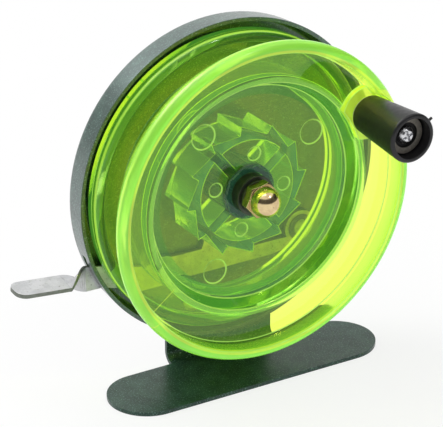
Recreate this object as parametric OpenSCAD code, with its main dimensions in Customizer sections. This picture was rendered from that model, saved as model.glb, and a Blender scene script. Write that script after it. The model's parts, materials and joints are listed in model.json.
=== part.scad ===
// Centre-pin fishing reel: a pan and a foot of painted sheet steel carry a clear one-piece spool on a
// fixed spindle, and a pawl lever comes out through the pan's rim. +Z is up, the reel's front faces -Y,
// and the origin is the middle of the foot's underside.

/* [Spool flanges and drum] */
// Diameter of the front flange
flange_d = 80; // [76:0.5:100]
// Diameter of the rear flange
rear_flange_d = 75.2; // [72:0.2:90]
// Diameter of the drum that the line winds on
drum_d = 60; // [56:0.5:64]
// Width of the line groove between the flanges
groove_w = 11.2; // [9:0.2:20]
// Thickness of both flange webs
web_t = 1.9; // [1.2:0.1:3]
// Height of the front rim in front of its web
rim_h = 4.7; // [3.5:0.1:8]
// Radial thickness of the front rim at its edge
rim_w = 2.7; // [2:0.1:4]
// Radius of the front rim's rounded edge
rim_edge_r = 2; // [1.2:0.1:2.6]
// Draft of the front rim's inner wall, across its height
rim_draft = 0.6; // [0:0.1:1.2]
// Radial inset of the front rim's root behind its edge
rim_root_inset = 2.4; // [1.5:0.1:3]
// Radial thickness of the rear flange's bead
bead_w = 2.8; // [2:0.1:4]
// Step from the rear bead's back to the rear web
bead_step = 0.5; // [0.2:0.1:1.5]
// How far the rear bead's round middle lies in front of the rear web
bead_lift = 0.1; // [0:0.1:0.5]
// Gap between the pan's floor and the rear bead
spool_gap = 2.5; // [2.4:0.1:5]

/* [Spool recess] */
// Wall of the drum at the mouth of the front recess
drum_wall = 1.4; // [1:0.1:2.5]
// Bevel at the mouth of the front recess
mouth_bevel = 0.5; // [0.2:0.1:1]
// Depth of the front recess below the front web
recess_depth = 4.7; // [3:0.1:8]
// Inward slope of the recess wall, across its depth
recess_draft = 1.6; // [0.4:0.1:3]
// Width of the sloped ring at the foot of the recess wall
recess_ring_w = 2.7; // [1:0.1:4]
// Height of the sloped ring above the floor
recess_ring_h = 0.7; // [0.2:0.1:1.5]
// Thickness of the floor
floor_t = 1.5; // [1:0.1:2.5]
// Wall of the drum behind the floor
cavity_wall = 2.3; // [1.4:0.1:4]
// Draft of the cavity behind the floor
cavity_draft = 0.5; // [0:0.1:1]
// Diameter of the large ejector marks on the floor
mark_d = 6.2; // [3:0.1:7]
// Diameter of the small ejector marks on the floor
small_mark_d = 3.5; // [2:0.1:4]
// Distance of the large ejector marks from the sloped ring
mark_margin = 0.3; // [0.1:0.1:2]
// Depth of the ejector marks
mark_depth = 0.15; // [0.1:0.05:0.4]

/* [Ratchet and hub] */
// Number of ratchet teeth
tooth_count = 12; // [8:1:16]
// Radius of the tooth tips
tooth_tip_r = 16.5; // [15:0.1:18]
// Depth of the teeth
tooth_depth = 2.2; // [1.6:0.1:2.8]
// Wall of the ratchet ring inside the teeth
ratchet_wall = 1.4; // [1:0.1:2.5]
// Angle of the first tooth tip
tooth_phase = 5.5; // [0:0.5:30]
// Angle that a steep tooth face takes up
steep_angle = 2; // [0.5:0.5:4]
// Gap between the pan's floor and the ratchet
ratchet_gap = 0.7; // [0.5:0.1:1]
// Thickness of the four ribs inside the ratchet
rib_t = 2.4; // [1:0.1:3.5]
// Angle of the first rib
rib_phase = 39; // [0:1:90]
// Gap between the pan's floor and the ribs
rib_gap = 4; // [2:0.5:8]
// Wall of the hub round its bush
hub_wall = 1.4; // [0.8:0.1:2]
// Height of the hub in front of the floor
hub_step = 0.2; // [0.2:0.1:1]
// Number of lobes round the hub
lobe_count = 10; // [6:1:14]
// Radius of each lobe
lobe_r = 1.2; // [0.8:0.1:1.6]
// Height of the lobes outside the hub
lobe_height = 0.4; // [0.2:0.1:0.8]

/* [Spindle and nut] */
// Diameter of the spindle
spindle_d = 5; // [4:0.5:6]
// Wall of the bush that turns on the spindle
bush_wall = 2.4; // [1.5:0.1:3]
// How far the bush stands out in front of the hub
bush_proud = 2.1; // [0.5:0.1:3]
// Radial running clearance of every turning fit
running_gap = 0.05; // [0.02:0.01:0.09]
// End play left beside every turning piece
end_play = 0.1; // [0.05:0.05:0.3]
// Overhang of the thrust washers past what they bear on
washer_overhang = 0.4; // [0.2:0.1:1]
// Thickness of the rear thrust washer
rear_washer_t = 1; // [0.6:0.1:1.5]
// Thickness of the front thrust washer
front_washer_t = 0.6; // [0.4:0.1:1]
// Thickness of the spring washer
spring_washer_t = 0.9; // [0.4:0.1:1.2]
// Split in the spring washer
spring_split = 0.8; // [0.4:0.1:1.5]
// Width of the nut across its flats
nut_flats = 8; // [7.5:0.1:10]
// Height of the nut's hexagon
nut_hex_h = 2.4; // [2:0.1:4]
// Diameter of the nut's dome
nut_dome_d = 7.4; // [6.6:0.1:7.8]
// Height of the whole nut
nut_h = 6.9; // [6.6:0.1:10]
// Turn of the nut's first corner
nut_turn = 10; // [0:1:60]
// Length of the spindle inside the nut
thread_len = 4.6; // [3:0.1:4.8]
// Thickness of the washer under the spindle's head
back_washer_t = 0.8; // [0.5:0.1:1.5]
// Diameter of the washer under the spindle's head
back_washer_d = 12.2; // [10:0.2:15]
// Diameter of the spindle's riveted head
spindle_head_d = 8.6; // [7:0.2:10]
// Height of the spindle's riveted head
spindle_head_h = 1.6; // [1:0.1:2.5]

/* [Pan] */
// Thickness of the pan's sheet
pan_t = 1; // [0.8:0.1:1.5]
// Height of the rim in front of the pan's floor
rim_wall_h = 4.4; // [3.6:0.1:6]
// Gap between the rear flange and the rim
rim_gap = 1.9; // [1:0.1:4]
// Outside radius of the pan's rear edge
pan_edge_r = 1.8; // [1.6:0.1:2.6]
// How much wider the rim is at its front edge than at its back
rim_flare = 0.4; // [0:0.1:1]
// Depth of the stiffening channel pressed round the pan's floor
channel_depth = 2.2; // [1:0.1:3]
// Width of the channel, from the rim's inside to the top of its slope
channel_w = 5.2; // [4.4:0.1:7]
// Width of the channel's slope
channel_slope = 1.4; // [0.8:0.1:2]
// Gap on each side of the stem where it crosses the channel
stem_clear = 0.6; // [0.3:0.1:2]

/* [Foot bracket] */
// Length of the foot
foot_len = 74.2; // [60:0.2:90]
// Width of the foot
foot_w = 19.8; // [15:0.2:24]
// Thickness of the bracket's sheet
bracket_t = 1; // [0.8:0.1:2.5]
// Width of the stem
stem_w = 29.6; // [24:0.2:34]
// Inside radius of the bend between the foot and the stem
bend_r = 2.3; // [1:0.1:4]
// Gap between the front flange and the foot
foot_gap = 7.5; // [5:0.1:20]
// Diameter of the bracket rivets
rivet_d = 3.2; // [2:0.1:4]
// Diameter of the rivet heads
rivet_head_d = 5.4; // [4.4:0.1:7]
// Height of the rivet heads
rivet_head_h = 0.9; // [0.5:0.1:1.2]
// Distance between the bracket rivets
rivet_spacing = 18; // [10:0.5:22]
// Distance of the bracket rivets below the spool axis
rivet_drop = 31.5; // [30:0.5:34]

/* [Pawl lever] */
// Thickness of the lever's strip
lever_t = 1; // [0.8:0.05:1.3]
// Width of the lever's strip
lever_w = 6.5; // [5:0.1:7]
// Distance of the strip's middle line below the spool axis
lever_drop = 21.3; // [21:0.1:23]
// Pivot's distance to the right of the spool axis
pivot_x = 21.9; // [20:0.1:24]
// Pivot's distance below the spool axis
pivot_drop = 18.8; // [17:0.1:20]
// Radius of the eye round the pivot
eye_r = 4.4; // [3.6:0.1:5]
// Width of the neck beside the eye
neck_w = 3.9; // [3:0.1:5]
// Where the neck meets the full strip, to the right of the spool axis
neck_x = 6; // [4:0.5:9]
// Where the strip starts to rise, to the left of the spool axis
hip_x = 24; // [18:0.5:27]
// Angle at which the outer strip rises
rise_angle = 10.8; // [0:0.1:14]
// Where the strip has its waist, to the left of the spool axis
waist_x = 33.5; // [32:0.5:35]
// Width of the strip at its waist
waist_w = 5.6; // [4.5:0.1:6.2]
// Where the twist starts, to the left of the spool axis
twist_x = 38; // [37.8:0.1:41]
// Width of the strip where the twist starts
twist_w = 6.4; // [5:0.1:7]
// Length of the twist
twist_len = 5.2; // [3:0.1:8]
// Angle of the twist
twist_angle = 94; // [80:1:110]
// How far the thumb tab drops over the twist
tab_drop = 0.6; // [0:0.1:2]
// Angle at which the thumb tab rises
tab_rise = 5.3; // [0:0.1:10]
// Length of the thumb tab
tab_len = 13.8; // [10:0.2:25]
// Width of the thumb tab
tab_w = 6.8; // [5:0.1:9]
// Corner radius of the thumb tab
tab_corner_r = 2.6; // [1:0.1:3.2]
// How far the pawl's point goes in between two teeth
pawl_bite = 0.8; // [0.6:0.1:1.4]
// Clearance of the pawl's point at rest
pawl_clear = 0.3; // [0.2:0.05:1]
// Angle from a tooth's tip to the pawl's point when it holds
pawl_lead = 3.6; // [3:0.1:6]
// Length of the pawl along the strip
pawl_len = 4.6; // [3:0.1:7]
// Clearance between the lever and the window in the rim
window_clear = 0.35; // [0.25:0.05:1]
// Diameter of the pivot rivet
pivot_d = 3.2; // [2.4:0.1:4]
// Diameter of the pivot rivet's front head
pivot_head_d = 4.3; // [4:0.1:5]
// Height of the pivot rivet's front head
pivot_head_h = 0.7; // [0.4:0.1:0.8]
// Diameter of the washer behind the lever
lever_washer_d = 7.6; // [6:0.1:9]
// Thickness of the washer behind the lever
lever_washer_t = 0.4; // [0.35:0.05:0.5]
// Diameter of the spring washer in front of the lever
lever_spring_d = 6.8; // [5:0.1:8]
// Thickness of the spring washer in front of the lever
lever_spring_t = 0.3; // [0.2:0.05:0.35]

/* [Handle] */
// Angle of the handle from the right, at rest
handle_angle = 29; // [0:1:90]
// Diameter of the handle's boss on the front web
boss_d = 13.6; // [11:0.1:14.5]
// Height of the boss in front of the front web
boss_h = 1.4; // [0.8:0.1:3.2]
// Room round the knob in the front rim's scoop
knob_room = 0.5; // [0.3:0.1:1]
// Wall of the front rim outside its scoop
scoop_wall = 1.4; // [1:0.1:2]
// Length of the knob
knob_len = 18.3; // [12:0.1:25]
// Diameter of the knob at its base
knob_base_d = 9.5; // [9.2:0.1:11.6]
// Diameter of the knob at its end
knob_end_d = 12.2; // [11.8:0.1:14]
// Bevel round the knob's base
knob_base_bevel = 0.4; // [0.2:0.1:1]
// Rounding of the knob's end
knob_edge_r = 0.7; // [0.3:0.1:0.9]
// Diameter of the recess in the knob's end
knob_recess_d = 9.9; // [9.2:0.1:10.2]
// Depth of the recess in the knob's end
knob_recess_h = 4; // [3:0.1:6]
// Diameter of the sleeve that the knob turns on
sleeve_d = 6; // [5:0.1:6.6]
// Diameter of the washer under the knob
base_washer_d = 8.6; // [7:0.1:10]
// Thickness of the washer under the knob
base_washer_t = 0.4; // [0.3:0.1:0.8]
// Clearance round the cup washer in the knob's recess
cup_clear = 0.3; // [0.1:0.1:0.6]
// Thickness of the cup washer's bottom
cup_t = 0.5; // [0.3:0.1:0.8]
// Height of the cup washer's raised ring
cup_h = 1.1; // [0.8:0.1:1.6]
// Diameter of the hollow in the cup washer
cup_hollow_d = 6.2; // [5:0.1:7]
// Diameter of the handle screw
screw_d = 3; // [2.5:0.1:3.4]
// Diameter of the handle screw's head
screw_head_d = 4.3; // [3.6:0.1:4.8]
// Height of the handle screw's head
screw_head_h = 1.5; // [1:0.1:2]
// Width of the screw's cross recess
cross_w = 0.6; // [0.4:0.1:0.9]
// Depth of the screw's cross recess
cross_depth = 0.8; // [0.4:0.1:0.9]
// Length of the moulding nub on the knob's end
nub_len = 1.1; // [0.5:0.1:2]
// Diameter of the moulding nub
nub_d = 0.7; // [0.4:0.1:1.2]
// Angle of the moulding nub round the knob
nub_angle = 30; // [0:1:360]

/* [Hidden] */
$fn = 96;

// Colours
paint = [0.10, 0.19, 0.13];
clear_green = [0.52, 0.95, 0.22];
zinc = [0.78, 0.78, 0.80];
dark_steel = [0.25, 0.26, 0.28];
brass_plate = [0.82, 0.68, 0.42];
black_plastic = [0.10, 0.10, 0.11];

// Small overlap that keeps cuts and unions clean
eps = 0.05;

// Places in the frame: depths run forward from the pan's floor, heights from the spool axis
stem_front_y = foot_w / 2 + bend_r;
floor_y = stem_front_y - pan_t;
axis_height = bracket_t + foot_gap + flange_d / 2;
pan_back = -pan_t;
stem_back = pan_back - bracket_t;

// Spool radii
flange_r = flange_d / 2;
rear_r = rear_flange_d / 2;
drum_r = drum_d / 2;
rim_in_r = flange_r - rim_w;
rim_foot_r = rim_in_r - rim_draft;
mouth_r = drum_r - drum_wall;
knee_r = mouth_r - recess_draft;
floor_r = knee_r - recess_ring_w;
cavity_r = drum_r - cavity_wall;
root_r = tooth_tip_r - tooth_depth;
ratchet_in_r = root_r - ratchet_wall;
spindle_r = spindle_d / 2;
bush_in_r = spindle_r + running_gap;
bush_r = bush_in_r + bush_wall;
hub_r = bush_r + hub_wall;

// Spool depths, from the pan's floor
rear_web_f = spool_gap + bead_step;
groove_back_f = rear_web_f + web_t;
groove_front_f = groove_back_f + groove_w;
web_front_f = groove_front_f + web_t;
rim_front_f = web_front_f + rim_h;
floor_front_f = web_front_f - recess_depth;
floor_back_f = floor_front_f - floor_t;
hub_back_f = rear_washer_t + end_play;
hub_front_f = floor_front_f + hub_step;
bush_front_f = hub_front_f + bush_proud;
lobe_place_r = hub_r + lobe_height - lobe_r;
mark_r = floor_r - mark_d / 2 - mark_margin;
mark_angles = [34, 127, 243];
small_mark_r = (hub_r + ratchet_in_r) / 2;
small_mark_angles = [82, 165, 257, 360];

// Stack in front of the hub
front_washer_f = bush_front_f + end_play;
spring_washer_f = front_washer_f + front_washer_t;
nut_f = spring_washer_f + spring_washer_t;
nut_corner_r = nut_flats / sqrt(3);
nut_dome_r = nut_dome_d / 2;

// Pan
pan_in_r = rear_r + rim_gap;
pan_r = pan_in_r + pan_t;
channel_back = pan_back - channel_depth;
channel_r = pan_in_r - channel_w;
sheet_shift = pan_t * tan(atan2(channel_depth, channel_slope) / 2);
notch_half = stem_w / 2 + stem_clear;
rivet_r = rivet_d / 2;
rivet_head_r = rivet_head_d / 2;
pivot_r = pivot_d / 2;
pivot = [pivot_x, -pivot_drop];

// Lever depths and edges, at rest
lever_back_f = lever_washer_t;
lever_front_f = lever_back_f + lever_t;
lever_spring_f = lever_front_f + end_play / 2;
pivot_head_f = lever_spring_f + lever_spring_t;
strip_top = lever_w / 2 - lever_drop;
strip_low = -lever_w / 2 - lever_drop;
function arm_top(x) = strip_top + (-hip_x - x) * tan(rise_angle);
function twist_climb(share) =
    twist_len * share * (tan(rise_angle) * (1 - share / 2) + tan(tab_rise) * share / 2) - tab_drop * share;

// Pawl: its point when it holds, turned back about the pivot to the rest position
function polar(r, a) = [r * cos(a), r * sin(a)];
function turned(p, a) = [p[0] * cos(a) - p[1] * sin(a), p[0] * sin(a) + p[1] * cos(a)];
pawl_tooth = tooth_phase + 360 / tooth_count * floor((250 - tooth_phase) / (360 / tooth_count));
held_point = polar(tooth_tip_r - pawl_bite, pawl_tooth + pawl_lead);
held_arm = held_point - pivot;
held_way = [held_arm[1], -held_arm[0]] / norm(held_arm);
held_share = -held_way * held_point / norm(held_point);
pawl_lift = (pawl_bite + pawl_clear) / (norm(held_arm) * held_share) * 180 / PI;
pawl_point = pivot + turned(held_arm, pawl_lift);
pawl_back = turned([1, 0], pawl_tooth + pawl_lead + pawl_lift);

// Window in the pan's rim, as high as the lever's travel there
window_back_f = lever_back_f - window_clear;
window_front_f = lever_front_f + window_clear;
window_low = arm_top(-waist_x) - waist_w - window_clear;
window_high = arm_top(-twist_x) + (pivot_x + twist_x) * sin(pawl_lift) + window_clear;

// Handle
knob_base_r = knob_base_d / 2;
knob_end_r = knob_end_d / 2;
crank = polar(flange_r - scoop_wall - knob_room - knob_base_r, handle_angle);
boss_front_f = web_front_f + boss_h;
knob_f = boss_front_f + base_washer_t + end_play;
knob_front_f = knob_f + knob_len;
scoop_end_r = knob_room + knob_base_r + (knob_end_r - knob_base_r) * (rim_front_f - knob_f) / knob_len;
knob_seat_f = knob_front_f - knob_recess_h;
cup_f = knob_seat_f + end_play;
sleeve_f = boss_front_f + base_washer_t;
screw_r = screw_d / 2;
screw_depth_f = groove_front_f + web_t / 2;
cup_r = knob_recess_d / 2 - cup_clear;

function arc(c, r, from, to, steps) =
    [for (i = [0:steps]) c + polar(r, from + (to - from) * i / steps)];

// Draws in the front view about the spool axis: x right, y up, z forward from depth f
module front_view(f) {
    translate([0, floor_y - f, axis_height]) rotate([90, 0, 0]) children();
}

module at_crank(f) {
    front_view(f) translate([crank[0], crank[1], 0]) children();
}

module at_pivot(f) {
    front_view(f) translate([pivot[0], pivot[1], 0]) children();
}

module ring(r_out, r_in, t) {
    difference() {
        cylinder(r = r_out, h = t);
        translate([0, 0, -eps]) cylinder(r = r_in, h = t + 2 * eps);
    }
}

// Low rivet head whose flat side lies on z = 0
module head(r, h) {
    cylinder(r = r, h = h * 0.45);
    translate([0, 0, h * 0.45]) cylinder(r1 = r, r2 = r * 0.6, h = h * 0.55);
}

// Pan

// Half outline of the pan's outside, filled to its front edge
module pan_outside() {
    corner = [pan_r - rim_flare - pan_edge_r, channel_back + pan_edge_r];
    polygon(concat(
        [
            [0, pan_back],
            [channel_r - sheet_shift, pan_back],
            [channel_r + channel_slope - sheet_shift, channel_back]
        ],
        arc(corner, pan_edge_r, -90, 0, 8),
        [[pan_r, rim_wall_h], [0, rim_wall_h]]
    ));
}

// Half outline of the hollow in the pan
module pan_hollow() {
    corner = [pan_r - rim_flare - pan_edge_r, channel_back + pan_edge_r];
    polygon(concat(
        [[0, 0], [channel_r, 0], [channel_r + channel_slope, channel_back + pan_t]],
        arc(corner, pan_edge_r - pan_t, -90, 0, 5),
        [[pan_in_r, rim_wall_h], [pan_in_r, rim_wall_h + eps], [0, rim_wall_h + eps]]
    ));
}

// Room behind the floor where the stem crosses the channel, grown by a margin
module stem_notch(margin) {
    half = notch_half + margin;
    translate([-half, -pan_r - 1, channel_back - 1])
        cube([2 * half, pan_r + 1, pan_back + margin - channel_back + 1]);
}

module rim_window() {
    translate([-pan_r - 1, window_low, window_back_f])
        cube([pan_r * 0.4, window_high - window_low, window_front_f - window_back_f]);
}

module plate_holes() {
    through = pan_t + 2 * eps;
    translate([0, 0, pan_back - eps]) {
        cylinder(r = spindle_r, h = through);
        translate([pivot[0], pivot[1], 0]) cylinder(r = pivot_r, h = through);
        for (side = [-1, 1])
            translate([side * rivet_spacing / 2, -rivet_drop, 0]) cylinder(r = rivet_r, h = through);
    }
}

module back_plate() {
    color(paint) front_view(0) difference() {
        rotate_extrude() pan_outside();
        stem_notch(0);
        difference() {
            rotate_extrude() pan_hollow();
            stem_notch(pan_t);
        }
        rim_window();
        plate_holes();
    }
}

// Foot bracket

module foot_plate() {
    end_r = foot_w / 2;
    reach = foot_len / 2 - end_r;
    linear_extrude(bracket_t) union() {
        square([2 * reach, foot_w], center = true);
        for (side = [-1, 1]) translate([side * reach, 0]) circle(r = end_r);
    }
}

module bracket_bend() {
    outer_r = bend_r + bracket_t;
    translate([-stem_w / 2, stem_front_y - bend_r, outer_r]) rotate([0, 90, 0])
        linear_extrude(stem_w) intersection() {
            difference() {
                circle(r = outer_r);
                circle(r = bend_r);
            }
            square(outer_r + 1);
        }
}

module stem() {
    stem_len = axis_height - bend_r - bracket_t;
    front_view(stem_back) linear_extrude(bracket_t) difference() {
        union() {
            translate([-stem_w / 2, -stem_len]) square([stem_w, stem_len]);
            circle(r = stem_w / 2);
        }
        circle(r = spindle_r);
        for (side = [-1, 1]) translate([side * rivet_spacing / 2, -rivet_drop]) circle(r = rivet_r);
    }
}

module foot_bracket() {
    color(paint) union() {
        foot_plate();
        bracket_bend();
        stem();
    }
}

module bracket_rivets() {
    color(zinc) for (side = [-1, 1])
        front_view(0) translate([side * rivet_spacing / 2, -rivet_drop, 0]) {
            translate([0, 0, stem_back]) cylinder(r = rivet_r, h = -stem_back);
            head(rivet_head_r, rivet_head_h);
            translate([0, 0, stem_back]) mirror([0, 0, 1]) head(rivet_head_r, rivet_head_h * 1.3);
        }
}

// Spindle and its washers

module spindle() {
    head_f = stem_back - back_washer_t;
    color(dark_steel) front_view(head_f) {
        cylinder(r = spindle_r, h = nut_f + thread_len - head_f);
        mirror([0, 0, 1]) head(spindle_head_d / 2, spindle_head_h);
    }
}

module spindle_back_washer() {
    color(zinc) front_view(stem_back - back_washer_t) ring(back_washer_d / 2, spindle_r, back_washer_t);
}

module rear_thrust_washer() {
    color(zinc) front_view(0) ring(bush_r + washer_overhang, spindle_r, rear_washer_t);
}

module front_thrust_washer() {
    color(dark_steel) front_view(front_washer_f)
        ring(nut_corner_r + washer_overhang, spindle_r, front_washer_t);
}

module spring_washer() {
    color(dark_steel) front_view(spring_washer_f) difference() {
        ring(nut_flats / 2 + washer_overhang / 2, spindle_r, spring_washer_t);
        translate([0, -spring_split / 2, -eps]) cube([nut_flats, spring_split, spring_washer_t + 2 * eps]);
    }
}

module acorn_nut() {
    corner_cut = (nut_corner_r - nut_flats / 2) * 0.6;
    dome_f = nut_h - nut_dome_r;
    color(brass_plate) front_view(nut_f) difference() {
        union() {
            intersection() {
                rotate(nut_turn) cylinder(r = nut_corner_r, h = nut_hex_h, $fn = 6);
                union() {
                    cylinder(r = nut_corner_r + eps, h = nut_hex_h - corner_cut);
                    translate([0, 0, nut_hex_h - corner_cut])
                        cylinder(r1 = nut_corner_r + eps, r2 = nut_flats / 2 - eps, h = corner_cut);
                }
            }
            cylinder(r = nut_dome_r, h = dome_f);
            translate([0, 0, dome_f]) intersection() {
                sphere(r = nut_dome_r);
                translate([0, 0, nut_dome_r]) cube(2 * nut_dome_r, center = true);
            }
        }
        translate([0, 0, -eps]) cylinder(r = spindle_r, h = thread_len + 0.3 + eps);
    }
}

// Spool

module spool_profile() {
    lip_c = [flange_r - rim_edge_r, rim_front_f - rim_edge_r];
    bead_r = bead_w / 2;
    bead_c = [rear_r - bead_r, groove_back_f + bead_lift];
    polygon(concat(
        [
            [0, floor_back_f],
            [cavity_r - cavity_draft, floor_back_f],
            [cavity_r, rear_web_f],
            [rear_r - bead_w, rear_web_f],
            [rear_r - bead_w, spool_gap],
            [rear_r, spool_gap]
        ],
        arc(bead_c, bead_r, 0, 180, 8),
        [
            [rear_r - bead_w, groove_back_f],
            [drum_r, groove_back_f],
            [drum_r, groove_front_f],
            [flange_r - rim_root_inset, groove_front_f]
        ],
        arc(lip_c, rim_edge_r, -10, 105, 8),
        [
            [rim_in_r, rim_front_f - 0.1],
            [rim_foot_r, web_front_f],
            [drum_r, web_front_f],
            [mouth_r, web_front_f - mouth_bevel],
            [knee_r, floor_front_f + recess_ring_h],
            [floor_r, floor_front_f],
            [0, floor_front_f]
        ]
    ));
}

module ratchet() {
    pitch = 360 / tooth_count;
    teeth = [
        for (i = [0:tooth_count - 1]) each [
            polar(tooth_tip_r, tooth_phase + i * pitch),
            polar(root_r, tooth_phase + i * pitch + steep_angle)
        ]
    ];
    translate([0, 0, ratchet_gap]) linear_extrude(floor_back_f - ratchet_gap + eps) difference() {
        polygon(teeth);
        circle(r = ratchet_in_r);
    }
}

// Hub with shallow lobes round it
module hub() {
    translate([0, 0, hub_back_f]) linear_extrude(hub_front_f - hub_back_f) union() {
        circle(r = hub_r);
        for (i = [0:lobe_count - 1])
            translate(polar(lobe_place_r, i * 360 / lobe_count)) circle(r = lobe_r, $fn = 32);
    }
}

module ribs() {
    reach = ratchet_in_r + ratchet_wall / 2;
    for (i = [0:3]) rotate(rib_phase + i * 90)
        translate([bush_r + hub_wall / 2, -rib_t / 2, rib_gap])
            cube([reach - bush_r - hub_wall / 2, rib_t, floor_back_f - rib_gap + eps]);
}

module handle_boss() {
    foot_f = groove_front_f + web_t / 2;
    intersection() {
        translate([crank[0], crank[1], foot_f]) cylinder(r = boss_d / 2, h = boss_front_f - foot_f);
        translate([0, 0, groove_front_f])
            ring(flange_r - rim_root_inset, mouth_r, boss_front_f - groove_front_f);
    }
}

// Scoop in the front rim that clears the knob
module rim_scoop() {
    translate([crank[0], crank[1], boss_front_f])
        cylinder(r1 = knob_base_r + knob_room, r2 = scoop_end_r, h = rim_front_f - boss_front_f + eps);
}

module floor_marks() {
    translate([0, 0, floor_front_f - mark_depth]) {
        for (a = mark_angles) translate(polar(mark_r, a)) cylinder(r = mark_d / 2, h = mark_depth + eps);
        for (a = small_mark_angles)
            translate(polar(small_mark_r, a)) cylinder(r = small_mark_d / 2, h = mark_depth + eps);
    }
}

module spool() {
    color(clear_green) front_view(0) difference() {
        union() {
            rotate_extrude() spool_profile();
            hub();
            ratchet();
            ribs();
            handle_boss();
        }
        translate([0, 0, hub_back_f - eps]) cylinder(r = bush_r, h = hub_front_f - hub_back_f + 2 * eps);
        translate([crank[0], crank[1], screw_depth_f])
            cylinder(r = screw_r, h = boss_front_f - screw_depth_f + eps);
        rim_scoop();
        floor_marks();
    }
}

module hub_bush() {
    color(dark_steel) front_view(hub_back_f) ring(bush_r, bush_in_r, bush_front_f - hub_back_f);
}

// Handle

module knob() {
    bore_r = sleeve_d / 2 + running_gap;
    edge_c = [knob_end_r - knob_edge_r, knob_len - knob_edge_r];
    nub_f = knob_len - knob_edge_r - nub_d;
    nub_root = (knob_end_r - knob_recess_d / 2) / 2;
    color(black_plastic) at_crank(knob_f) union() {
        rotate_extrude() polygon(concat(
            [[bore_r, 0], [knob_base_r - knob_base_bevel, 0], [knob_base_r, knob_base_bevel]],
            arc(edge_c, knob_edge_r, 0, 90, 6),
            [
                [knob_recess_d / 2, knob_len],
                [knob_recess_d / 2, knob_len - knob_recess_h],
                [bore_r, knob_len - knob_recess_h]
            ]
        ));
        translate([0, 0, nub_f]) rotate(nub_angle)
            translate([knob_end_r - nub_root, 0, 0]) rotate([0, 90, 0])
            cylinder(d = nub_d, h = nub_len + nub_root);
    }
}

module knob_sleeve() {
    color(zinc) at_crank(sleeve_f) ring(sleeve_d / 2, screw_r, cup_f - sleeve_f);
}

module knob_base_washer() {
    color(zinc) at_crank(boss_front_f) ring(base_washer_d / 2, screw_r, base_washer_t);
}

module knob_washer() {
    color(zinc) at_crank(cup_f) difference() {
        cylinder(r = cup_r, h = cup_h);
        translate([0, 0, cup_t]) cylinder(d = cup_hollow_d, h = cup_h);
        translate([0, 0, -eps]) cylinder(r = screw_r, h = cup_h);
    }
}

module knob_screw() {
    head_r = screw_head_d / 2;
    head_f = cup_f + cup_t;
    slot_len = head_r * 1.3;
    color(zinc) at_crank(head_f) difference() {
        union() {
            translate([0, 0, screw_depth_f - head_f]) cylinder(r = screw_r, h = head_f - screw_depth_f);
            head(head_r, screw_head_h);
        }
        for (turn = [20, 110]) rotate(turn)
            translate([-slot_len / 2, -cross_w / 2, screw_head_h - cross_depth])
                cube([slot_len, cross_w, cross_depth + eps]);
    }
}

// Pawl lever

module lever_outline() {
    neck_top = strip_low + neck_w;
    arm_end = [-twist_x, arm_top(-twist_x)];
    waist = [-waist_x, arm_top(-waist_x) - waist_w];
    foot_of_back = pawl_point + pawl_back * (pawl_point[1] - strip_top) / -pawl_back[1];
    difference() {
        union() {
            translate(pivot) circle(r = eye_r);
            polygon([
                [-hip_x, strip_top], [neck_x - 2, strip_top], [neck_x + 2, neck_top],
                [pivot[0] - eye_r * 0.8, neck_top], [pivot[0], pivot[1] - eye_r * 0.2],
                [pivot[0], pivot[1] - eye_r * 0.99], [pivot[0] - 2 * eye_r, strip_low + 0.2],
                [-hip_x, strip_low]
            ]);
            polygon([
                [-hip_x + eps, strip_low], [-hip_x + eps, strip_top],
                arm_end, arm_end - [0, twist_w], waist
            ]);
            polygon([
                pawl_point, foot_of_back, foot_of_back - [0, 1],
                [foot_of_back[0] + pawl_len, strip_top - 1], [foot_of_back[0] + pawl_len, strip_top]
            ]);
        }
        translate(pivot) circle(r = pivot_r + running_gap);
    }
}

// Short length of strip that turns from upright to lying, as one swept solid
module lever_twist() {
    steps = 12;
    ease = 1.25;
    start = [-twist_x + eps, arm_top(-twist_x) - twist_w / 2];
    sections = [
        for (i = [0:steps])
            let (
                share = i / steps,
                turn = twist_angle * pow(share, ease),
                half_w = (twist_w + (tab_w - twist_w) * share) / 2,
                half_t = lever_t / 2,
                x = start[0] - (twist_len + 2 * eps) * share,
                z = start[1] + twist_climb(share)
            )
            [
                for (corner = [[-1, -1], [1, -1], [1, 1], [-1, 1]])
                    let (across = turned([corner[0] * half_w, corner[1] * half_t], turn))
                    [x, z + across[0], (lever_back_f + lever_front_f) / 2 + across[1]]
            ]
    ];
    last = 4 * steps;
    sides = [
        for (i = [0:steps - 1], k = [0:3])
            let (a = 4 * i + k, b = 4 * i + (k + 1) % 4)
            each [[a, b, a + 4], [b, b + 4, a + 4]]
    ];
    ends = [[0, 2, 1], [0, 3, 2], [last, last + 1, last + 2], [last, last + 2, last + 3]];
    polyhedron(points = [for (s = sections) each s], faces = concat(sides, ends), convexity = 4);
}

module thumb_tab() {
    middle = arm_top(-twist_x) - twist_w / 2 + twist_climb(1);
    corner_x = tab_len - tab_corner_r;
    corner_y = tab_w / 2 - tab_corner_r;
    translate([-twist_x - twist_len, middle, (lever_back_f + lever_front_f) / 2])
        rotate(-tab_rise) rotate([twist_angle, 0, 0]) translate([0, 0, -lever_t / 2])
            linear_extrude(lever_t) union() {
                translate([-corner_x, -tab_w / 2]) square([corner_x, tab_w]);
                translate([-tab_len, -corner_y]) square([tab_len, 2 * corner_y]);
                for (side = [-1, 1]) translate([-corner_x, side * corner_y]) circle(r = tab_corner_r);
                polygon(concat([[0, 0]], arc([0, 0], tab_w / 2, -90, 0, 8)));
            }
}

module pawl_lever() {
    color(zinc) front_view(0) union() {
        translate([0, 0, lever_back_f]) linear_extrude(lever_t) lever_outline();
        lever_twist();
        thumb_tab();
    }
}

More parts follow.
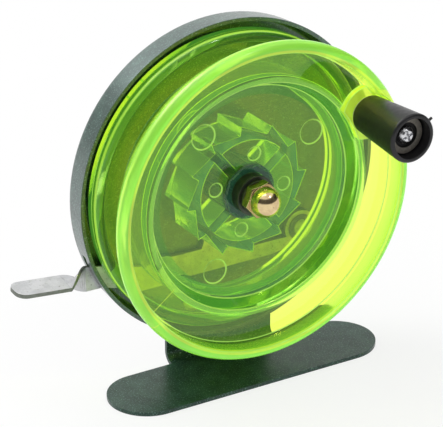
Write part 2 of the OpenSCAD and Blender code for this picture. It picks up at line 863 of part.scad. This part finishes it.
module lever_rivet() {
    color(zinc) at_pivot(0) {
        translate([0, 0, pan_back]) cylinder(r = pivot_r, h = pivot_head_f - pan_back);
        translate([0, 0, pivot_head_f]) head(pivot_head_d / 2, pivot_head_h);
        translate([0, 0, pan_back]) mirror([0, 0, 1]) head(rivet_head_r, rivet_head_h);
    }
}

module lever_washer() {
    color(zinc) at_pivot(0) ring(lever_washer_d / 2, pivot_r, lever_washer_t);
}

module lever_spring_washer() {
    color(zinc) at_pivot(lever_spring_f) ring(lever_spring_d / 2, pivot_r, lever_spring_t);
}

back_plate();
foot_bracket();
bracket_rivets();
spindle();
spindle_back_washer();
rear_thrust_washer();
spool();
hub_bush();
front_thrust_washer();
spring_washer();
acorn_nut();
knob();
knob_sleeve();
knob_base_washer();
knob_washer();
knob_screw();
pawl_lever();
lever_rivet();
lever_washer();
lever_spring_washer();
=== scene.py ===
# Fishing reel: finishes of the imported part, a pale floor, soft studio light and the photograph's camera.
import json
import math

import bpy
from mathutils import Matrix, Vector

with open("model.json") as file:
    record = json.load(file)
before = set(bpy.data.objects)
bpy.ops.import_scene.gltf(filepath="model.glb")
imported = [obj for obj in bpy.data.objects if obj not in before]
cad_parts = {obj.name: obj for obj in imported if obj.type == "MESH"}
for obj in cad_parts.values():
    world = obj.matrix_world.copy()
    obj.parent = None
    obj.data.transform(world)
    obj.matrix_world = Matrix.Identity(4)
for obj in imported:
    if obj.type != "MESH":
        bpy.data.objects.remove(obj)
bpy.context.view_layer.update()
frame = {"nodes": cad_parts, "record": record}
NODES = frame["nodes"]

# Sizes of the part that the materials use, in metres: depths count forward from the pan's floor
AXIS_Z = 0.0485
PAN_FLOOR_Y = 0.0112
CRANK = (0.0291686, 0.0161684)
PARTING_ANGLE = math.radians(217.5)
NUT_DOME_AT = 0.0199
TWIST_FROM = -0.038
TWIST_TO = -0.0432
TWIST_EASE = 1.25
TWIST_ANGLE = math.radians(94)

# Clear moulding: its index, its tint for the light of lamps, and the width of a soft border
CLEAR_IOR = 1.45
LAMP_TINT = (0.90, 0.98, 0.45, 1)
SOFT = 0.0002

# Way to the dim corner of the room, behind the reel on the left
DIM_CORNER = (-0.61, 0.76, 0.23)


# Node helpers

def material(name):
    """A new material with one Principled shader: (material, node tree, shader)."""
    mat = bpy.data.materials.new(name)
    mat.use_nodes = True
    tree = mat.node_tree
    return mat, tree, tree.nodes["Principled BSDF"]


def feed(tree, socket, value):
    """Links a socket to another node's output, or sets a plain value on it."""
    if isinstance(value, bpy.types.NodeSocket):
        tree.links.new(value, socket)
    elif value is not None:
        socket.default_value = value


def math_node(tree, operation, a, b=None, c=None):
    node = tree.nodes.new("ShaderNodeMath")
    node.operation = operation
    for socket, value in zip(node.inputs, (a, b, c)):
        feed(tree, socket, value)
    return node.outputs[0]


def ramp(tree, value, low, high, low_to=0.0, high_to=1.0):
    """A smooth step of value: low_to below low and high_to above high."""
    node = tree.nodes.new("ShaderNodeMapRange")
    node.interpolation_type = "SMOOTHSTEP"
    settings = {"Value": value, "From Min": low, "From Max": high, "To Min": low_to, "To Max": high_to}
    for name, setting in settings.items():
        feed(tree, node.inputs[name], setting)
    return node.outputs["Result"]


def mix_colour(tree, factor, a, b):
    node = tree.nodes.new("ShaderNodeMix")
    node.data_type = "RGBA"
    feed(tree, node.inputs["Factor"], factor)
    feed(tree, node.inputs["A"], a)
    feed(tree, node.inputs["B"], b)
    return node.outputs["Result"]


def coordinates(tree):
    return tree.nodes.new("ShaderNodeTexCoord").outputs["Object"]


def noise(tree, scale, detail=2.0, roughness=0.5):
    """Noise in the part's own space; scale counts features in a metre."""
    node = tree.nodes.new("ShaderNodeTexNoise")
    tree.links.new(coordinates(tree), node.inputs["Vector"])
    node.inputs["Scale"].default_value = scale
    node.inputs["Detail"].default_value = detail
    node.inputs["Roughness"].default_value = roughness
    return node.outputs["Fac"]


def bump(tree, shader, height, depth, strength=1.0):
    node = tree.nodes.new("ShaderNodeBump")
    node.inputs["Distance"].default_value = depth
    node.inputs["Strength"].default_value = strength
    tree.links.new(height, node.inputs["Height"])
    tree.links.new(node.outputs["Normal"], shader.inputs["Normal"])


def mottle(tree, shader, scale, detail, dark, light):
    """Base colour that wanders between two tones."""
    feed(tree, shader.inputs["Base Color"], mix_colour(tree, noise(tree, scale, detail), dark, light))


def wear(tree, scale, detail, low, high):
    """A value that wanders between low and high."""
    return ramp(tree, noise(tree, scale, detail), 0.3, 0.7, low, high)


def roughen(tree, shader, scale, detail, low, high):
    """Roughness that wanders between low and high."""
    feed(tree, shader.inputs["Roughness"], wear(tree, scale, detail, low, high))


def rgb(r, g, b):
    """Linear colour of an sRGB triple from 0 to 255."""
    def linear(v):
        v /= 255
        return v / 12.92 if v <= 0.04045 else ((v + 0.055) / 1.055) ** 2.4
    return (linear(r), linear(g), linear(b), 1.0)


# Materials

def paint_material(name, gloss):
    """Dark green hammertone paint with fine metallic flecks."""
    mat, tree, shader = material(name)
    flecks = ramp(tree, noise(tree, 3000, 1.0), 0.58, 0.72)
    clouds = ramp(tree, noise(tree, 260, 3.0), 0.35, 0.68)
    body = mix_colour(tree, clouds, rgb(30, 52, 42), rgb(44, 70, 58))
    speckled = mix_colour(tree, math_node(tree, "MULTIPLY", flecks, 0.7), body, rgb(120, 152, 142))
    feed(tree, shader.inputs["Base Color"], speckled)
    roughen(tree, shader, 1500, 2.0, 0.30, 0.42)
    shader.inputs["Specular IOR Level"].default_value = gloss
    shader.inputs["Specular Tint"].default_value = (0.72, 0.97, 0.95, 1)
    shader.inputs["Coat Weight"].default_value = 0.7 * gloss
    shader.inputs["Coat Roughness"].default_value = 0.25
    shader.inputs["Coat IOR"].default_value = 1.6
    bump(tree, shader, noise(tree, 1300, 2.0), 0.00008, 0.6)
    return mat


def reel_space(tree):
    """Sockets for a point's place on the spool: right, up, radius and depth."""
    split = tree.nodes.new("ShaderNodeSeparateXYZ")
    tree.links.new(coordinates(tree), split.inputs[0])
    right = split.outputs["X"]
    up = math_node(tree, "SUBTRACT", split.outputs["Z"], AXIS_Z)
    square = math_node(tree, "MULTIPLY_ADD", right, right, math_node(tree, "MULTIPLY", up, up))
    depth = math_node(tree, "SUBTRACT", PAN_FLOOR_Y, split.outputs["Y"])
    return right, up, math_node(tree, "SQRT", square), depth


def both(tree, *masks):
    """Where all masks hold."""
    product = masks[0]
    for mask in masks[1:]:
        product = math_node(tree, "MULTIPLY", product, mask)
    return product


def lamp_through(tree, shader):
    """Lets lamps shine through a clear shader: it is plain tinted for shadow rays."""
    light = tree.nodes.new("ShaderNodeLightPath")
    clear = tree.nodes.new("ShaderNodeBsdfTransparent")
    clear.inputs["Color"].default_value = LAMP_TINT
    mix = tree.nodes.new("ShaderNodeMixShader")
    tree.links.new(light.outputs["Is Shadow Ray"], mix.inputs[0])
    tree.links.new(shader.outputs[0], mix.inputs[1])
    tree.links.new(clear.outputs[0], mix.inputs[2])
    tree.links.new(mix.outputs[0], tree.nodes["Material Output"].inputs["Surface"])


def band(tree, value, low, high):
    """1 between low and high, with soft sides."""
    return both(tree, ramp(tree, value, low - SOFT, low), ramp(tree, value, high + SOFT, high))


def crank_distance(tree, right, up):
    """Distance from the handle's axis."""
    along_x = math_node(tree, "SUBTRACT", right, CRANK[0])
    along_z = math_node(tree, "SUBTRACT", up, CRANK[1])
    square = math_node(tree, "MULTIPLY", along_z, along_z)
    square = math_node(tree, "MULTIPLY_ADD", along_x, along_x, square)
    return math_node(tree, "SQRT", square)


def parting_line(tree, right, up):
    """Thin radial line that the mould left on the front web; the moulding paints it bright, a painted
    highlight on a real mark.
    """
    sine = math.sin(PARTING_ANGLE)
    cosine = math.cos(PARTING_ANGLE)
    across = math_node(tree, "MULTIPLY_ADD", right, sine, math_node(tree, "MULTIPLY", up, -cosine))
    along = math_node(tree, "MULTIPLY_ADD", right, cosine, math_node(tree, "MULTIPLY", up, sine))
    thin = ramp(tree, math_node(tree, "ABSOLUTE", across), 0.00016, 0.00008)
    return both(tree, thin, ramp(tree, along, 0.0288, 0.0292))


def plastic_material():
    """Clear fluorescent moulding: yellow webs, lime rim and boss, teal ratchet and dark hub; an emission
    paints light on the rim, boss, mouth and lines, and the hub, recess wall and rear flange are darkened
    with painted shade.
    """
    mat, tree, shader = material("fluorescent_clear_painted_light_and_shade")
    right, up, radius, depth = reel_space(tree)

    # Regions of the moulding
    front = ramp(tree, depth, 0.0176, 0.0179)
    rear = ramp(tree, depth, 0.0095, 0.0080)
    behind = ramp(tree, depth, 0.0117, 0.0113)
    # painted shade: the lip's glow dims toward the pan
    painted_fade_to_pan = ramp(tree, depth, 0.0182, 0.0214, 0.55, 1.0)
    lip = both(tree, ramp(tree, radius, 0.0376, 0.0380), front, painted_fade_to_pan)
    lip_line = both(tree, band(tree, radius, 0.0369, 0.0380), ramp(tree, depth, 0.0216, 0.0220))
    bead = both(tree, ramp(tree, radius, 0.0371, 0.0374), rear, ramp(tree, depth, 0.0050, 0.0054))
    shaded_bead_body = both(tree, band(tree, radius, 0.0346, 0.0380), rear)
    mouth = both(tree, band(tree, radius, 0.0286, 0.0300), ramp(tree, depth, 0.0168, 0.0172))
    wall = both(tree, band(tree, radius, 0.0246, 0.0285), ramp(tree, depth, 0.0130, 0.0134))
    boss = both(tree, ramp(tree, crank_distance(tree, right, up), 0.0071, 0.0068), front)
    parting = both(tree, parting_line(tree, right, up), front)
    teeth = both(tree, ramp(tree, radius, 0.0168, 0.0166), behind)
    hub = both(tree, ramp(tree, radius, 0.0070, 0.0068), ramp(tree, depth, 0.0139, 0.0136))

    # Painted glow: an emission in each region that stands in for light the plastic gathers and gives out,
    # and where that glow is yellow
    shares = ((bead, 0.9), (mouth, 0.5), (wall, 0.10), (parting, 0.8), (boss, 1.0), (lip_line, 0.8))
    painted_glow = math_node(tree, "MULTIPLY", lip, 0.7)
    for mask, share in shares:
        painted_glow = math_node(tree, "MAXIMUM", painted_glow, math_node(tree, "MULTIPLY", mask, share))
    painted_glow = both(tree, painted_glow, wear(tree, 90, 2.0, 0.9, 1.0))
    yellow = math_node(tree, "MAXIMUM", boss, math_node(tree, "MULTIPLY", bead, 0.7))
    yellow = math_node(tree, "MAXIMUM", yellow, math_node(tree, "MAXIMUM", lip_line, parting))

    tint = mix_colour(tree, teeth, (0.91, 0.96, 0.15, 1), (0.74, 0.95, 0.42, 1))
    # painted shade: the recess wall and the rear flange inside the pan get darker greens
    tint = mix_colour(tree, wall, tint, (0.46, 0.82, 0.13, 1))
    tint = mix_colour(tree, shaded_bead_body, tint, (0.40, 0.68, 0.11, 1))
    lime = mix_colour(tree, yellow, (0.32, 0.92, 0.11, 1), (0.80, 1.0, 0.12, 1))
    tint = mix_colour(tree, painted_glow, tint, lime)
    # painted shade: the hub is painted dark
    feed(tree, shader.inputs["Base Color"], mix_colour(tree, hub, tint, (0.04, 0.16, 0.09, 1)))
    # part of the painted glow: the glowing regions are less clear
    clear = ramp(tree, painted_glow, 0.0, 1.0, 1.0, 0.45)
    feed(tree, shader.inputs["Transmission Weight"], ramp(tree, hub, 0.0, 1.0, clear, 0.55))
    polish = ramp(tree, lip, 0.0, 1.0, wear(tree, 400, 2.0, 0.01, 0.03), 0.22)
    feed(tree, shader.inputs["Roughness"], ramp(tree, teeth, 0.0, 1.0, polish, 0.20))
    # painted glow: a faint green emission all over, stronger where the regions glow, and almost none on
    # the hub
    painted_veil = mix_colour(tree, teeth, (0.011, 0.040, 0.007, 1), (0.012, 0.046, 0.020, 1))
    painted_shine = mix_colour(tree, yellow, (0.07, 0.32, 0.022, 1), (0.16, 0.24, 0.010, 1))
    painted_veil = mix_colour(tree, painted_glow, painted_veil, painted_shine)
    feed(tree, shader.inputs["Emission Color"], mix_colour(tree, hub, painted_veil, (0.002, 0.008, 0.005, 1)))
    shader.inputs["Emission Strength"].default_value = 1.0
    shader.inputs["IOR"].default_value = CLEAR_IOR
    lamp_through(tree, shader)
    return mat


def edge_material():
    """Edges of the clear moulding, painted bright with an emission as if the light that it gathers came
    out there; faint behind its floor.
    """
    mat, tree, shader = material("fluorescent_edge_painted_light")
    radius, depth = reel_space(tree)[2:]
    near = both(tree, ramp(tree, depth, 0.0095, 0.0112), ramp(tree, radius, 0.0070, 0.0074))
    rear = both(tree, ramp(tree, radius, 0.0340, 0.0350), ramp(tree, depth, 0.0095, 0.0080))
    # painted glow: edges in front of the floor and on the rear rim glow lime, the rest stay faint
    lit = math_node(tree, "MAXIMUM", near, math_node(tree, "MULTIPLY", rear, 0.6))
    tone = mix_colour(tree, noise(tree, 160, 2.0), (0.55, 1.0, 0.18, 1), (0.78, 1.0, 0.22, 1))
    feed(tree, shader.inputs["Base Color"], mix_colour(tree, lit, (0.40, 0.80, 0.42, 1), tone))
    feed(tree, shader.inputs["Transmission Weight"], ramp(tree, lit, 0.0, 1.0, 0.9, 0.4))
    roughen(tree, shader, 400, 2.0, 0.10, 0.22)
    painted_shine = mix_colour(tree, lit, (0.004, 0.014, 0.007, 1), (0.07, 0.16, 0.02, 1))
    feed(tree, shader.inputs["Emission Color"], painted_shine)
    shader.inputs["Emission Strength"].default_value = 1.0
    shader.inputs["IOR"].default_value = CLEAR_IOR
    lamp_through(tree, shader)
    return mat


def zinc_tone(tree):
    """Colour of galvanised sheet: pale, with fine grey specks."""
    specks = math_node(tree, "MULTIPLY", ramp(tree, noise(tree, 1800, 3.0, 0.7), 0.58, 0.70), 0.6)
    cloud = wear(tree, 300, 2.0, 0.0, 1.0)
    tone = mix_colour(tree, cloud, rgb(190, 191, 193), rgb(210, 210, 212))
    return mix_colour(tree, specks, tone, rgb(120, 116, 110))


def galvanise(tree, shader, colour):
    """Surface of galvanised steel over a colour."""
    feed(tree, shader.inputs["Base Color"], colour)
    roughen(tree, shader, 900, 3.0, 0.38, 0.55)
    shader.inputs["Metallic"].default_value = 0.75
    bump(tree, shader, noise(tree, 2200, 2.0), 0.00002, 0.5)


def zinc_material():
    """Galvanised small parts."""
    mat, tree, shader = material("galvanised")
    galvanise(tree, shader, zinc_tone(tree))
    return mat


def strip_material():
    """Galvanised strip of the lever, upright at its arm and flat at its tab, with darker sides: partly the
    dull steel of a sheared cut, partly painted shade along its outline.
    """
    mat, tree, shader = material("galvanised_strip")
    place = tree.nodes.new("ShaderNodeSeparateXYZ")
    tree.links.new(coordinates(tree), place.inputs[0])
    facing = tree.nodes.new("ShaderNodeSeparateXYZ")
    tree.links.new(tree.nodes.new("ShaderNodeTexCoord").outputs["Normal"], facing.inputs[0])
    share = ramp(tree, place.outputs["X"], TWIST_FROM, TWIST_TO)
    turn = math_node(tree, "MULTIPLY", math_node(tree, "POWER", share, TWIST_EASE), TWIST_ANGLE)
    upright = both(tree, facing.outputs["Y"], math_node(tree, "COSINE", turn))
    flat = both(tree, facing.outputs["Z"], math_node(tree, "SINE", turn))
    broad = math_node(tree, "ABSOLUTE", math_node(tree, "ADD", upright, flat))
    # darker sides: partly dull sheared steel, partly painted shade along the outline
    sides = ramp(tree, broad, 0.62, 0.35)
    dull = mix_colour(tree, noise(tree, 1200, 3.0), rgb(88, 94, 86), rgb(150, 154, 146))
    galvanise(tree, shader, mix_colour(tree, sides, zinc_tone(tree), dull))
    return mat


def cut_material():
    """Sheared edge of the galvanised sheet, darker than its faces: partly dull cut steel, partly painted
    shade along its outline.
    """
    mat, tree, shader = material("cut_edge_dull_and_shaded")
    mottle(tree, shader, 1200, 3.0, rgb(46, 50, 46), rgb(86, 90, 84))
    roughen(tree, shader, 900, 3.0, 0.45, 0.6)
    shader.inputs["Metallic"].default_value = 0.6
    return mat


def bright_material():
    """Bright plated screw."""
    mat, tree, shader = material("bright_zinc")
    mottle(tree, shader, 900, 3.0, rgb(196, 197, 200), rgb(232, 232, 234))
    roughen(tree, shader, 1400, 2.0, 0.16, 0.30)
    shader.inputs["Metallic"].default_value = 1.0
    return mat


def cup_material():
    """Dull washer in the knob's end, with painted shade: its hollow round the screw is painted near black.
    """
    mat, tree, shader = material("dull_washer_painted_hollow_shade")
    right, up = reel_space(tree)[:2]
    # painted shade: the hollow round the screw is painted near black
    hollow = ramp(tree, crank_distance(tree, right, up), 0.00325, 0.00305)
    tone = mix_colour(tree, noise(tree, 1600, 3.0), rgb(88, 85, 79), rgb(136, 131, 122))
    feed(tree, shader.inputs["Base Color"], mix_colour(tree, hollow, tone, rgb(14, 14, 15)))
    roughen(tree, shader, 900, 3.0, 0.45, 0.6)
    shader.inputs["Metallic"].default_value = 0.6
    return mat


def steel_material():
    """Dark oiled steel."""
    mat, tree, shader = material("oiled_steel")
    mottle(tree, shader, 700, 3.0, rgb(50, 58, 48), rgb(86, 92, 80))
    roughen(tree, shader, 500, 2.0, 0.28, 0.42)
    shader.inputs["Metallic"].default_value = 0.8
    return mat


def nut_material():
    """Yellow passivated nut; its hex faces are darker than its dome, a painted shade."""
    mat, tree, shader = material("yellow_passivated")
    stain = ramp(tree, noise(tree, 350, 3.0), 0.35, 0.65)
    dome = mix_colour(tree, stain, rgb(232, 210, 160), rgb(206, 180, 138))
    # painted shade: the hex faces are darker than the dome
    shaded_hexagon = ramp(tree, reel_space(tree)[3], NUT_DOME_AT, NUT_DOME_AT - 0.0002)
    feed(tree, shader.inputs["Base Color"], mix_colour(tree, shaded_hexagon, dome, rgb(176, 152, 104)))
    roughen(tree, shader, 1200, 2.0, 0.10, 0.18)
    shader.inputs["Metallic"].default_value = 1.0
    return mat


def nut_edge_material():
    """Corners of the nut, painted bright: a painted highlight."""
    mat, tree, shader = material("yellow_passivated_painted_highlight")
    mottle(tree, shader, 900, 2.0, rgb(240, 222, 176), rgb(226, 204, 160))
    roughen(tree, shader, 1200, 2.0, 0.18, 0.28)
    shader.inputs["Metallic"].default_value = 1.0
    return mat


def knob_material():
    """Satin black moulding."""
    mat, tree, shader = material("satin_black")
    mottle(tree, shader, 600, 2.0, rgb(20, 20, 22), rgb(30, 30, 33))
    roughen(tree, shader, 900, 3.0, 0.30, 0.42)
    shader.inputs["Specular IOR Level"].default_value = 0.4
    bump(tree, shader, noise(tree, 2600, 2.0), 0.00002, 0.4)
    return mat


FINISH = {
    "paint": paint_material("green_hammertone", 1.0),
    "foot_paint": paint_material("green_hammertone_foot", 0.3),
    "clear_green": plastic_material(),
    "clear_edge_painted_light": edge_material(),
    "zinc": zinc_material(),
    "strip": strip_material(),
    "cut_edge_dull_and_shaded": cut_material(),
    "nut_painted_highlight": nut_edge_material(),
    "bright_zinc": bright_material(),
    "dull_washer_painted_hollow_shade": cup_material(),
    "dark_steel": steel_material(),
    "plated_nut": nut_material(),
    "black_plastic": knob_material(),
}

# Width of the rounded edges of each piece, in metres
EDGES = {
    "spool": 0.00018,
    "back_plate": 0.0003,
    "foot_bracket": 0.0004,
    "pawl_lever": 0.0002,
    "acorn_nut": 0.0002,
    "knob": 0.0002,
}
SMALL_EDGE = 0.0001

# Pieces whose finish differs from the rest of their slot
OWN_FINISH = {
    "foot_bracket": "foot_paint",
    "knob_screw": "bright_zinc",
    "knob_washer": "dull_washer_painted_hollow_shade",
    "lever_spring_washer": "dull_washer_painted_hollow_shade",
    "pawl_lever": "strip",
}

# Finish of the rounded edges, where it differs from the faces: painted glow on the spool, a painted
# highlight on the nut, and on the lever a dark tone that is partly cut steel and partly painted shade
EDGE_FINISH = {
    "spool": "clear_edge_painted_light",
    "pawl_lever": "cut_edge_dull_and_shaded",
    "acorn_nut": "nut_painted_highlight",
}


def dress(name, finish, width):
    """Gives a CAD node its finish, and rounded edges that stay inside its shape."""
    node = NODES[name]
    mesh = node.data
    mesh.materials.clear()
    mesh.materials.append(FINISH[finish])
    mesh.shade_smooth()
    weld = node.modifiers.new("weld", "WELD")
    weld.merge_threshold = 1e-6
    if name != "pawl_lever":
        flat = node.modifiers.new("flat", "DECIMATE")
        flat.decimate_type = "DISSOLVE"
        flat.angle_limit = 0.004
    edge = node.modifiers.new("edge", "BEVEL")
    edge.width = width
    edge.segments = 2
    edge.limit_method = "ANGLE"
    edge.angle_limit = 0.5
    edge.use_clamp_overlap = name != "spool"
    if name in EDGE_FINISH:
        mesh.materials.append(FINISH[EDGE_FINISH[name]])
        edge.material = 1
    even = node.modifiers.new("even", "WEIGHTED_NORMAL")
    even.keep_sharp = True


for row in frame["record"]["subparts"]:
    name = row["node"]
    dress(name, OWN_FINISH.get(name, row["material_slot"]), EDGES.get(name, SMALL_EDGE))


# Floor, light and camera

def floor_material():
    """Pale floor that takes the shadow near the reel and turns into the white backdrop away from it."""
    mat, tree, shader = material("pale_floor")
    paper = mix_colour(tree, noise(tree, 40, 2.0), (0.92, 0.92, 0.92, 1), (0.95, 0.95, 0.95, 1))
    feed(tree, shader.inputs["Base Color"], paper)
    shader.inputs["Roughness"].default_value = 0.7
    shader.inputs["Specular IOR Level"].default_value = 0.2
    length = tree.nodes.new("ShaderNodeVectorMath")
    length.operation = "LENGTH"
    tree.links.new(coordinates(tree), length.inputs[0])
    far = ramp(tree, length.outputs["Value"], 0.05, 0.11, 0.80, 1.0)
    path = tree.nodes.new("ShaderNodeLightPath")
    glossy, through = path.outputs["Is Glossy Ray"], path.outputs["Is Transmission Ray"]
    mirrored = math_node(tree, "MAXIMUM", glossy, through)
    seen = math_node(tree, "MULTIPLY", far, path.outputs["Is Camera Ray"])
    white = tree.nodes.new("ShaderNodeEmission")
    mix = tree.nodes.new("ShaderNodeMixShader")
    tree.links.new(math_node(tree, "MAXIMUM", seen, mirrored), mix.inputs[0])
    tree.links.new(shader.outputs[0], mix.inputs[1])
    tree.links.new(white.outputs[0], mix.inputs[2])
    tree.links.new(mix.outputs[0], tree.nodes["Material Output"].inputs["Surface"])
    return mat


def make_floor():
    half = 2.0
    drop = -0.00005
    mesh = bpy.data.meshes.new("floor")
    corners = [(-half, -half, drop), (half, -half, drop), (half, half, drop), (-half, half, drop)]
    mesh.from_pydata(corners, [], [(0, 1, 2, 3)])
    floor = bpy.data.objects.new("floor", mesh)
    mesh.materials.append(floor_material())
    bpy.context.scene.collection.objects.link(floor)


def aim(thing, target):
    thing.rotation_euler = (Vector(target) - thing.location).to_track_quat("-Z", "Y").to_euler()


def softbox(name, place, target, size, power):
    lamp = bpy.data.lights.new(name, "AREA")
    lamp.size = size
    lamp.energy = power
    box = bpy.data.objects.new(name, lamp)
    box.location = place
    bpy.context.scene.collection.objects.link(box)
    aim(box, target)


def make_world():
    """White surroundings with a dim room in front, softer as light than where they are mirrored."""
    world = bpy.data.worlds.new("tent")
    world.use_nodes = True
    tree = world.node_tree
    shade = tree.nodes["Background"]
    shade.inputs["Color"].default_value = (1, 1, 1, 1)
    way = tree.nodes.new("ShaderNodeSeparateXYZ")
    tree.links.new(tree.nodes.new("ShaderNodeTexCoord").outputs["Generated"], way.inputs[0])
    ahead = ramp(tree, way.outputs["Y"], 0.75, -0.35)
    middle = math_node(tree, "MULTIPLY_ADD", ahead, 0.30, 0.12)
    reach = math_node(tree, "MULTIPLY_ADD", ahead, 0.12, 0.12)
    off = math_node(tree, "ABSOLUTE", math_node(tree, "SUBTRACT", way.outputs["Z"], middle))
    level = ramp(tree, math_node(tree, "SUBTRACT", off, reach), 0.08, 0.0)
    room = ramp(tree, both(tree, ramp(tree, ahead, 0.03, 0.15), level), 0.0, 1.0, 1.0, 0.10)
    toward = math_node(tree, "MULTIPLY", way.outputs["Z"], DIM_CORNER[2])
    toward = math_node(tree, "MULTIPLY_ADD", way.outputs["Y"], DIM_CORNER[1], toward)
    toward = math_node(tree, "MULTIPLY_ADD", way.outputs["X"], DIM_CORNER[0], toward)
    room = both(tree, room, ramp(tree, toward, 0.78, 0.97, 1.0, 0.45))
    path = tree.nodes.new("ShaderNodeLightPath")
    lit = ramp(tree, path.outputs["Is Glossy Ray"], 0.0, 1.0, 0.5, room)
    lit = ramp(tree, path.outputs["Is Transmission Ray"], 0.0, 1.0, lit, room)
    feed(tree, shade.inputs["Strength"], ramp(tree, path.outputs["Is Camera Ray"], 0.0, 1.0, lit, 1.0))
    bpy.context.scene.world = world


def make_camera():
    lens = bpy.data.cameras.new("camera")
    lens.lens = 195.0
    lens.sensor_width = 36.0
    lens.clip_start = 0.01
    camera = bpy.data.objects.new("camera", lens)
    camera.location = (-0.2743, -0.4440, 0.2800)
    bpy.context.scene.collection.objects.link(camera)
    aim(camera, (-0.00959, -0.00521, 0.0463))
    bpy.context.scene.camera = camera


make_floor()
make_world()
softbox("key", (-0.30, 0.42, 0.62), (0, 0, 0.05), 0.45, 3.0)
softbox("top", (-0.12, 0.08, 0.75), (0, 0, 0.04), 0.45, 1.2)
softbox("glint", (0.27, -0.45, 0.77), (0, 0, 0.04), 0.08, 0.45)
make_camera()
bpy.context.scene.view_settings.view_transform = "Standard"
